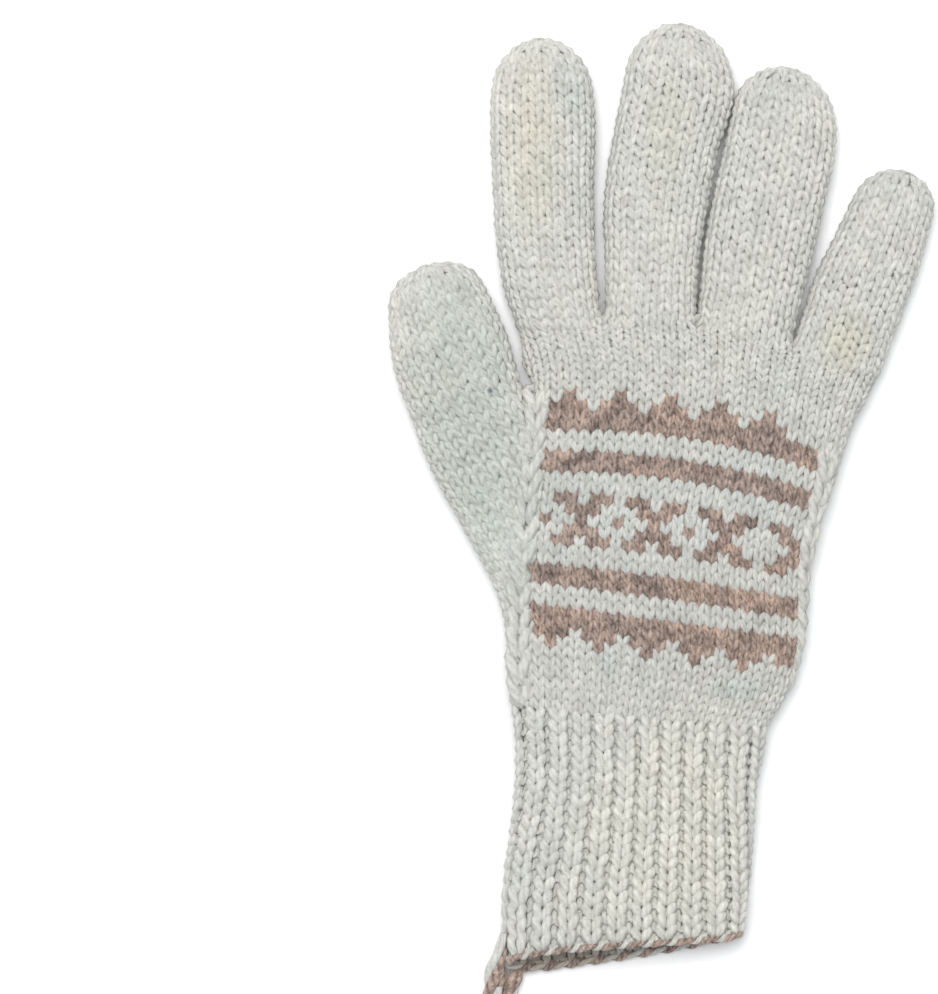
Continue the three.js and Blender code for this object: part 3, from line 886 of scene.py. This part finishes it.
def wool_material(name, cool, warm, shade, glow, spots=()):
    """Matt plied wool: a helical ply, fine fibres, and uneven colour from stitch to stitch.
    The ply's lightness paints highlights on its crowns and shade in its grooves; spots can paint
    shade.
    """
    material, shader = new_material(name)
    tree = material.node_tree
    shader.inputs["Sheen Weight"].default_value = 0.3
    shader.inputs["Sheen Roughness"].default_value = 0.5
    shader.inputs["Specular IOR Level"].default_value = 0.15
    places = add_node(tree, "ShaderNodeTexCoord", {}).outputs
    around, along, _ = add_node(tree, "ShaderNodeSeparateXYZ", {0: places["UV"]}).outputs
    turned = calculated(tree, "ADD", around, calculated(tree, "DIVIDE", along, PLY_PITCH))
    angle = calculated(tree, "MULTIPLY", turned, 2 * math.pi)
    ply_angle = calculated(tree, "MULTIPLY", turned, math.pi * PLIES)
    ply = calculated(tree, "ABSOLUTE", calculated(tree, "SINE", ply_angle))
    fibre_place = add_node(tree, "ShaderNodeCombineXYZ", {
        0: calculated(tree, "COSINE", angle),
        1: calculated(tree, "SINE", angle),
        2: calculated(tree, "MULTIPLY", along, 0.2),
    })
    fibres = noise(tree, fibre_place.outputs[0], 9.0, 4.0, 0.7)
    warmth = noise(tree, places["Object"], 24.0, 3.0, 0.6)
    clumps = noise(tree, places["Object"], 380.0, 3.0, 0.65)
    tone = add_node(tree, "ShaderNodeAttribute", {}, attribute_name="tone").outputs["Fac"]
    hue = ramped(
        tree, weighted_sum(tree, (warmth, fibres, tone), HUE_WEIGHTS), [(0.38, cool), (0.62, warm)]
    )
    # Lightness: the ply term paints highlights on the ply crowns and shade in the grooves.
    light = ramped(
        tree, weighted_sum(tree, (clumps, fibres, tone, ply), LIGHT_WEIGHTS),
        [(0.4, shade), (0.52, MIDDLE_LIGHT), (0.63, glow)],
    )
    colour = spotted(tree, multiplied(tree, hue, light), places["Object"], spots)
    relief = weighted_sum(tree, (ply, fibres), RELIEF_WEIGHTS)
    bump = add_node(
        tree, "ShaderNodeBump", {"Height": relief, "Strength": 0.9, "Distance": 0.3 * MM}
    )
    tree.links.new(colour, shader.inputs["Base Color"])
    tree.links.new(bump.outputs["Normal"], shader.inputs["Normal"])
    return material


# The hanging cord

def line_frames(centres):
    """Two directions across each point of an open line, which turn as little as possible."""
    forward = unit(np.gradient(centres, axis=0))
    outward = np.empty_like(forward)
    outward[0] = unit(np.cross(forward[0], (0.3, 0.2, 1.0)))
    for index in range(1, len(forward)):
        previous = outward[index - 1]
        outward[index] = unit(previous - forward[index] * np.dot(previous, forward[index]))
    return outward, np.cross(forward, outward)


def strand_mesh(line, radii):
    """Points, faces, caps and texture places of one open tube."""
    sides = CORD_SIDES
    rings = rings_round(line, *line_frames(line), radii, sides)
    here = np.arange(len(line) - 1) * sides
    last = here[-1] + sides
    caps = np.stack([np.arange(sides)[::-1], last + np.arange(sides)])
    along = lengths_along(line)
    coordinates = ring_coordinates(along[:-1], along[1:], sides)
    return rings.reshape(-1, 3), ring_quads(here, here + sides, sides), caps, coordinates


def cord_path(route):
    """Closely spaced points on a smooth curve through a cord's route, and the route's length."""
    route = np.array(route) - CENTRE
    along = lengths_along(route)
    wanted = np.linspace(0, along[-1], int(along[-1] / CORD_STEP))
    return smooth_through(along, route, wanted), along[-1]


def make_cord(white, taupe):
    """The hanging loop, and the yarn ends that gather at the hem's corner and wrap its start."""
    path, length = cord_path(LOOP_ROUTE)
    cord = twisted(
        "hanging_cord", path, CORD_STRAND, LOOP_DIAMETER / 2 - CORD_STRAND, CORD_PITCH, CORD_TAPER,
        (white, taupe, taupe),
    )
    root_path, _ = cord_path(ROOT_ROUTE)
    root = twisted(
        "cord_root", root_path, ROOT_STRAND, ROOT_OFFSET, ROOT_PITCH, ROOT_TAPER,
        (white, taupe, white),
    )


def twisted(name, path, strand, offset_radius, pitch, taper, materials):
    """Strands twisted together along a line, thinner at the ends."""
    wanted = lengths_along(path)
    end = np.minimum(wanted / taper, (wanted[-1] - wanted) / CORD_TAPER).clip(0, 1)
    swell = (END_SHARE + (1 - END_SHARE) * np.sin(end * math.pi / 2))[:, None]
    outward, sideways = line_frames(path)
    parts = []
    owners = []
    start = 0
    for number in range(STRANDS):
        angle = (2 * math.pi * (number / STRANDS + wanted / pitch))[:, None]
        offset = (outward * np.cos(angle) + sideways * np.sin(angle)) * offset_radius * swell
        points, quads, caps, coordinates = strand_mesh(path + offset, strand * swell[:, 0])
        parts.append((points, quads + start, caps + start, coordinates))
        owners.append(np.full(len(quads), number))
        start += len(points)
    points, quads, caps, coordinates = (np.concatenate(group) for group in zip(*parts))
    cord = mesh_piece(
        name, points, quads, caps, coordinates, random.uniform(0, 1, start),
        materials[0], ["hanging_loop"],
    )
    for material in materials[1:]:
        cord.data.materials.append(material)
    owner = np.concatenate(owners + [np.repeat(np.arange(STRANDS), 2)])
    cord.data.polygons.foreach_set("material_index", owner.astype(np.int32))
    return cord


# The knitted pieces

def line_side(points, line):
    """How far each point lies to the right of a line that runs up the glove."""
    line = np.array(line) - CENTRE[:2]
    return points[..., 0] - np.interp(points[..., 1], line[:, 1], line[:, 0])


def fanned(height, total, count, starts, stretches):
    """Column sides, row by row: the first columns fan out, and the others share what is left."""
    start = starts[0] + (starts[1] - starts[0]) * height[:, None]
    stretch = stretches[0] + (stretches[1] - stretches[0]) * height[:, None]
    fan = start + stretch * np.arange(count + 1)
    others = total - count
    room = total - stretch * count
    rest = fan[:, -1:] + room * np.arange(1, others + 1) / others
    return np.concatenate([fan, rest], axis=1)


def hand_edges():
    """Places of the hand's columns, row by row: the band's columns fan out."""
    height = (np.arange(HAND_STITCH_ROWS) - (BAND_TOP_ROW - len(BAND))) / len(BAND)
    height = np.clip(height, -0.2, 1.2)
    return fanned(height, HAND_COLUMNS, BAND_COLUMNS, BAND_START, BAND_STRETCH) / HAND_COLUMNS


def cuff_edges():
    """Places of the cuff's knit and purl columns, row by row: the back's ribs fan out downwards."""
    height = np.linspace(0, 1, CUFF_STITCH_ROWS)
    sides = fanned(height, RIBS, BACK_RIBS, RIB_START, RIB_STRETCH)
    turns = sides[:, :-1] + np.diff(sides, axis=1) * KNIT_SHARE
    columns = np.stack([sides[:, :-1], turns], axis=2).reshape(CUFF_STITCH_ROWS, 2 * RIBS)
    return np.concatenate([columns, sides[:, -1:]], axis=1) / RIBS


def make_hand(tree, white, taupe):
    """The back and palm of the hand, with the two-colour band on the back."""
    rows = [HAND_ROWS[0]._replace(y=HAND_START)] + HAND_ROWS[1:]
    guides = [place_section(row, YARN_DEPTH, HAND_SAMPLES) for row in rows]
    guides.append(knuckle_section(HAND_END, YARN_DEPTH, HAND_SAMPLES, 0, len(KNUCKLES) - 1))
    heights, numbers = zip(*HAND_PLACES)
    places = np.append(np.interp([row.y for row in rows], heights, numbers), HAND_STITCH_ROWS)
    surface = stitch_surface(guides, places, tree)
    edges = hand_edges()
    stitches = knit_rows(surface, 0, HAND_STITCH_ROWS, edges, HAND_YARN, HAND_SPREAD)
    near_roots = np.arange(HAND_STITCH_ROWS)[:, None] >= HAND_STITCH_ROWS - HAND_ROOT_ROWS
    low = stitches.middles[..., 2] < PALM_HEIGHT
    owned = stitches.buried < np.where(near_roots, ROOT_BURIED, np.where(low, PALM_BURIED, BURIED))
    owned &= line_side(stitches.middles, THUMB_LINE) > np.where(low, *HAND_PAST_LINE)
    is_taupe = np.zeros(owned.shape, bool)
    for number, row in enumerate(BAND):
        marks = np.array([mark == "x" for mark in row])
        is_taupe[BAND_TOP_ROW - 1 - number, :len(row)] = marks
    back = np.zeros(owned.shape, bool)
    back[:, :BAND_COLUMNS + BAND_MARGIN] = True
    back[:, -BAND_MARGIN:] = True
    for name, kept, material, slot in (
        ("hand_back_white", owned & back & ~is_taupe, white, "white_wool"),
        ("hand_back_taupe", owned & is_taupe, taupe, "taupe_wool"),
        ("hand_palm", owned & ~back, white, "white_wool"),
    ):
        yarn_piece(name, stitches, kept, material, ["hand"])
    white_yarn.append((stitches, owned & ~is_taupe))
    taupe_yarn.append((stitches, owned & is_taupe))
    outer_line = edges[:, BAND_COLUMNS]
    make_chain("chain_thumb_side", level_ribbon(surface, edges[:, 0], -1, *THUMB_CHAIN), white)
    make_chain("chain_outer_side", wrapped_ribbon(surface, outer_line, 1, *OUTER_CHAIN), white)


def chain_places(line, side, rows, overlap):
    """Rows of a chain beside the band, and where its inner side lies round the hand."""
    count = int((rows[1] - rows[0]) / CHAIN_ROW)
    places = rows[0] + CHAIN_ROW * np.arange(2 * count + 1) / 2
    near = np.interp(places, np.arange(len(line)), line) - side * overlap / HAND_COLUMNS
    return count, places, near


def wrapped_ribbon(surface, line, side, rows, overlap):
    """A strip of the hand's own surface, which follows its round side."""
    count, places, near = chain_places(line, side, rows, overlap)
    reach = side * 2 * CHAIN_COLUMNS / HAND_COLUMNS * np.arange(CHAIN_SAMPLES) / CHAIN_SAMPLES
    around = near[:, None] + reach
    up = np.broadcast_to(places[:, None], around.shape)
    points = sample(surface.points, up, around)
    normals = unit(sample(surface.normals, up, around))
    return Surface(points, normals, np.zeros(around.shape), count)


def level_ribbon(surface, line, side, rows, overlap):
    """A nearly level strip that leans over the hand's edge, on top of the thumb's gusset."""
    count, places, near = chain_places(line, side, rows, overlap)
    base = sample(surface.points, places, near)
    along = unit(np.gradient(base, axis=0))
    across = unit(np.cross(along, (0.0, 0.0, 1.0))) * side - np.array([0.0, 0.0, CHAIN_SLOPE])
    reach = 2 * CHAIN_WIDTH * np.arange(CHAIN_SAMPLES) / CHAIN_SAMPLES
    points = base[:, None, :] + across[:, None, :] * reach[None, :, None]
    outward = unit(np.cross(across, along) * side)
    normals = np.repeat(outward[:, None, :], CHAIN_SAMPLES, axis=1)
    return Surface(points, normals, np.zeros(points.shape[:2]), count)


def make_chain(name, ribbon, white):
    """A column of long slipped stitches beside the band."""
    lift = np.full((ribbon.rows, 1), CHAIN_LIFT)
    lift[[0, -1]] -= CHAIN_SINK
    chain = knit_rows(ribbon, 0, ribbon.rows, [0.0, 0.5], CHAIN_YARN, CHAIN_SPREAD, lift)
    kept = np.ones((ribbon.rows, 1), bool)
    yarn_piece(name, chain, kept, white, ["hand"])
    white_yarn.append((chain, kept))


def make_finger(tube, number, tree, white):
    """A finger that starts on the line of the finger roots."""
    root = tube.rows[0]._replace(height=HAND_END.height)
    guides = [knuckle_section(root, YARN_DEPTH, TUBE_SAMPLES, number, number + 1, ROOT_OVERLAP)]
    guides += tube_sections(tube, YARN_DEPTH, TUBE_SAMPLES)
    make_tube(tube, guides, tube.name + "_finger", tree, white)


def make_tube(tube, guides, node, tree, white, line=None, lean=0.0):
    """The stitches of a finger or the thumb, with half as many columns in its rounded tip."""
    places = places_by_length(guides, FINGER_ROW)
    surface = stitch_surface(guides, places, tree)
    full = surface.rows - TIP_ROWS
    tip_columns = tube.columns // 2
    shift = lean * np.arange(surface.rows)[:, None]
    edges = np.arange(tube.columns + 1) / tube.columns + shift[:full]
    stitches = knit_rows(surface, 0, full, edges, FINGER_YARN, FINGER_SPREAD)
    limit = np.where(np.arange(full) < FINGER_ROOT_ROWS, ROOT_BURIED, BURIED)[:, None]
    kept = stitches.buried < limit
    if line is not None:
        low = stitches.middles[..., 2] < PALM_HEIGHT
        kept = stitches.buried < np.where(low, PALM_BURIED, limit)
        kept &= line_side(stitches.middles, line) < np.where(low, *THUMB_PAST_LINE)
    yarn_piece(tube.name + "_stitches", stitches, kept, white, [node])
    tip_edges = np.arange(tip_columns + 1) / tip_columns + shift[full:]
    tip = knit_rows(surface, full, TIP_ROWS, tip_edges, FINGER_YARN, FINGER_SPREAD)
    tip_kept = tip.buried < BURIED
    yarn_piece(tube.name + "_tip", tip, tip_kept, white, [node])
    white_yarn.extend([(stitches, kept), (tip, tip_kept)])


def make_thumb(tree, white):
    """The thumb and its gusset, which grows out of the hand's side."""
    guides = tube_sections(THUMB, YARN_DEPTH, TUBE_SAMPLES)
    make_tube(THUMB, guides, "thumb", tree, white, THUMB_LINE, THUMB_LEAN)


def make_cuff(tree, white):
    """The ribbed cuff: knit columns stand out and purl columns sink in."""
    guides = [place_section(row, YARN_DEPTH, CUFF_SAMPLES) for row in CUFF_ROWS]
    heights = np.array([row.y for row in CUFF_ROWS])
    places = (heights - heights[0]) / (heights[-1] - heights[0]) * CUFF_STITCH_ROWS
    surface = stitch_surface(guides, places, tree)
    rows = np.arange(CUFF_STITCH_ROWS)[:, None]
    purl = np.arange(2 * RIBS) % 2 == 1
    fade = np.clip((CUFF_STITCH_ROWS - rows) / RIB_FADE_ROWS, 0, 1)
    lift = np.where(purl, PURL_DROP, RIB_LIFT) * fade
    stitches = knit_rows(
        surface, 0, CUFF_STITCH_ROWS, cuff_edges(), CUFF_YARN, CUFF_SPREAD, lift, purl
    )
    kept = stitches.buried < BURIED
    low = rows < CUFF_STITCH_ROWS // 2
    yarn_piece("cuff_low", stitches, kept & low, white, ["cuff"])
    yarn_piece("cuff_high", stitches, kept & ~low, white, ["cuff"])
    white_yarn.append((stitches, kept))


def out_of_hem():
    """The level direction in which the cuff opens."""
    turn = math.radians(CUFF_ROWS[0].turn)
    return np.array([math.sin(turn), -math.cos(turn), 0.0])


def make_edge(white, taupe):
    """The cast-on edge: a taupe and a white strand twisted round each other at the hem."""
    out = out_of_hem()
    path = place_section(CUFF_ROWS[0], EDGE_DEPTH, EDGE_SAMPLES) + out * EDGE_DROP
    tangents = unit(np.roll(path, -1, axis=0) - np.roll(path, 1, axis=0))
    sideways = unit(np.cross(tangents, out))
    phase = 2 * math.pi * RIBS * np.arange(EDGE_SAMPLES) / EDGE_SAMPLES
    for name, start, radius, material, slot in (
        ("edge_taupe", 0.0, EDGE_TAUPE, taupe, "taupe_wool"),
        ("edge_white", 0.5, EDGE_WHITE, white, "white_wool"),
    ):
        angle = (phase + EDGE_SWING * np.sin(phase) + 2 * math.pi * start)[:, None]
        offset = sideways * np.cos(angle) + out * np.sin(angle)
        centres = (path + offset * EDGE_OFFSET)[None]
        radii = np.full((1, EDGE_SAMPLES), radius)
        tones = random.uniform(0, 1, radii.shape)
        line = Stitches(centres, offset[None], radii, tones, None, None)
        kept = np.ones(radii.shape, bool)
        yarn_piece(name, line, kept, material, ["cast_on_edge"], EDGE_SIDES)


def make_backing(white):
    """The felted inner face of the knitting, open at the wrist."""
    skin = joined_skin("inner_face", FACE_DEPTH, FACE_VOXEL, FACE_RELAXING)
    hem = CUFF_ROWS[0]
    mesh = skin.data
    mesh.materials.clear()
    mesh.materials.append(white)
    out = Vector(out_of_hem())
    centre = Vector(((hem.x - CENTRE[0]) * MM, (hem.y - CENTRE[1]) * MM, 0.0))
    remove_vertices(mesh, [v.index for v in mesh.vertices if (v.co - centre).dot(out) > 0.0])
    thick = skin.modifiers.new("wall", "SOLIDIFY")
    thick.thickness = FACE_WALL * MM
    thick.offset = -1
    apply_modifiers(skin)
    skin.data.shade_smooth()
    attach(skin, "root")
    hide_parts(*KNITTED_NODES)


def remove_vertices(mesh, gone):
    """Deletes some vertices and their faces."""
    shape = bmesh.new()
    shape.from_mesh(mesh)
    shape.verts.ensure_lookup_table()
    bmesh.ops.delete(shape, geom=[shape.verts[index] for index in gone], context="VERTS")
    shape.to_mesh(mesh)
    shape.free()


# Floor and light

def make_floor():
    """A plain pale floor."""
    half = FLOOR_SIZE / 2
    corners = [(-half, -half, 0), (half, -half, 0), (half, half, 0), (-half, half, 0)]
    mesh = bpy.data.meshes.new("floor")
    mesh.from_pydata(corners, [], [(0, 1, 2, 3)])
    material, shader = new_material("floor")
    shader.inputs["Base Color"].default_value = FLOOR_COLOUR
    mesh.materials.append(material)
    linked("floor", mesh)


def make_light():
    """A soft studio lamp at the upper left and an even pale sky."""
    scene = bpy.context.scene
    scene.view_settings.view_transform = "Standard"
    world = bpy.data.worlds.new("sky")
    scene.world = world
    world.use_nodes = True
    background = world.node_tree.nodes["Background"]
    background.inputs["Color"].default_value = SKY_COLOUR
    background.inputs["Strength"].default_value = SKY_STRENGTH
    data = bpy.data.lights.new("key", "AREA")
    data.shape = "DISK"
    data.size = LAMP_SIZE
    data.energy = LAMP_ENERGY
    lamp = linked("key", data)
    lamp.location = LAMP_PLACE
    lamp.rotation_euler = (-lamp.location).to_track_quat("-Z", "Y").to_euler()


make_camera()
# Its spots include painted shade at the index tip and a brown painted shadow under the hem.
white_wool = wool_material(
    "white_wool_yarn", (0.665, 0.68, 0.64), (0.73, 0.71, 0.64),
    shade=(0.72, 0.71, 0.69), glow=(1.12, 1.12, 1.12), spots=SPOTS,
)
taupe_wool = wool_material(
    "taupe_wool_yarn", (0.35, 0.277, 0.243), (0.455, 0.326, 0.26),
    shade=(0.22, 0.19, 0.175), glow=(1.7, 1.7, 1.68),
)
make_cord(white_wool, taupe_wool)
yarn_skin = joined_skin("yarn_skin", YARN_DEPTH, SKIN_VOXEL, SKIN_RELAXING)
skin_search = skin_tree(yarn_skin)
bpy.data.objects.remove(yarn_skin)
make_hand(skin_search, white_wool, taupe_wool)
for place, finger in enumerate(FINGERS):
    make_finger(finger, place, skin_search, white_wool)
make_thumb(skin_search, white_wool)
make_cuff(skin_search, white_wool)
make_edge(white_wool, taupe_wool)
make_backing(white_wool)
fuzz_piece("fuzz_white", white_yarn, WHITE_FIBRES, white_wool, KNITTED_NODES)
fuzz_piece("fuzz_taupe", taupe_yarn, TAUPE_FIBRES, taupe_wool, ["hand"])
make_floor()
make_light()
